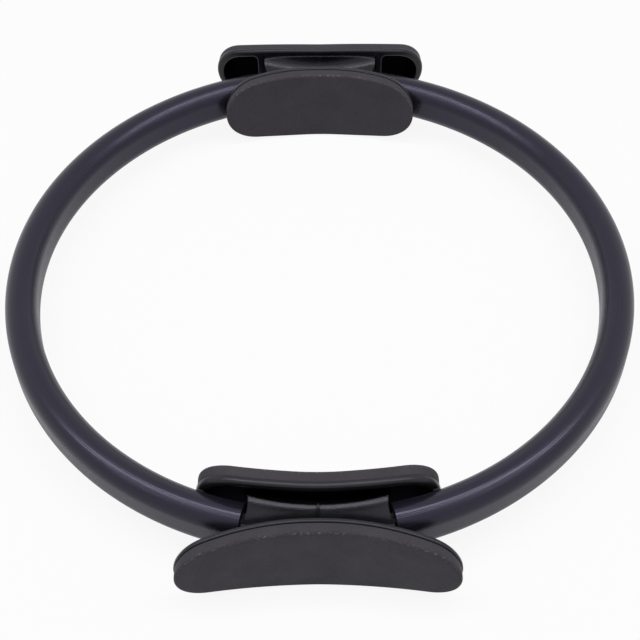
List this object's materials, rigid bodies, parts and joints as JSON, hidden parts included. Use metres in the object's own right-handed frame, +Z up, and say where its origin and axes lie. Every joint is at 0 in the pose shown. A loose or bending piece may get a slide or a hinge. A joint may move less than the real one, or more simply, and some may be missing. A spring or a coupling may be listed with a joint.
{
  "type": "pilates ring",
  "caption": "Sprung fitness hoop with a rubber sleeve and padded handles on opposite sides, squeezed between hands or legs for resistance.",
  "frame": {"origin": "on the floor under the ring's centre", "axes": "+Z up with the ring lying flat, +Y towards the far handle, +X to the right hoop"},
  "size_m": [0.38, 0.4168, 0.0548],
  "materials": {
    "sleeve": "satin",
    "leaf": "black pultruded glass fibre",
    "collar": "satin",
    "tray": "fine grain",
    "foam": "matte closed-cell foam",
    "steel": "zinc plated"
  },
  "bodies": {
    "near_handle": {"near_collar": "collar", "near_inner_tray": "tray", "near_outer_tray": "tray", "near_inner_pad": "foam", "near_outer_pad": "foam", "near_inner_screws": "steel", "near_outer_screws": "steel", "near_leaf_pins": "steel"},
    "far_handle": {"far_collar": "collar", "far_inner_tray": "tray", "far_outer_tray": "tray", "far_inner_pad": "foam", "far_outer_pad": "foam", "far_inner_screws": "steel", "far_outer_screws": "steel", "far_leaf_pins": "steel"},
    "left_hoop": {"left_sleeve": "sleeve"},
    "left_springs": {"left_inner_leaf": "leaf", "left_outer_leaf": "leaf"},
    "right_hoop": {"right_sleeve": "sleeve"},
    "right_springs": {"right_inner_leaf": "leaf", "right_outer_leaf": "leaf"}
  },
  "joints": [
    {"name": "squeeze", "type": "slide", "parent": "near_handle", "child": "far_handle", "axis": [0, -1, 0], "range_m": [-0.03, 0.08], "stiffness_N_per_m": 1200, "deforming": ["left_sleeve", "left_inner_leaf", "left_outer_leaf", "right_sleeve", "right_inner_leaf", "right_outer_leaf"]},
    {"name": "left_bulge", "type": "slide", "parent": "near_handle", "child": "left_hoop", "axis": [-0.6701, -0.7423, 0], "range_m": [-0.0205, 0.0542]},
    {"name": "left_spring", "type": "slide", "parent": "far_handle", "child": "left_springs", "axis": [-0.6701, 0.7423, 0], "range_m": [-0.0205, 0.0542]},
    {"name": "right_bulge", "type": "slide", "parent": "near_handle", "child": "right_hoop", "axis": [0.6701, -0.7423, 0], "range_m": [-0.0205, 0.0542]},
    {"name": "right_spring", "type": "slide", "parent": "far_handle", "child": "right_springs", "axis": [0.6701, 0.7423, 0], "range_m": [-0.0205, 0.0542]}
  ],
  "couplings": [
    {"joint": "left_bulge", "follows": "squeeze", "ratio": 0.67361},
    {"joint": "left_spring", "follows": "squeeze", "ratio": 0.67361},
    {"joint": "right_bulge", "follows": "squeeze", "ratio": 0.67361},
    {"joint": "right_spring", "follows": "squeeze", "ratio": 0.67361}
  ]
}
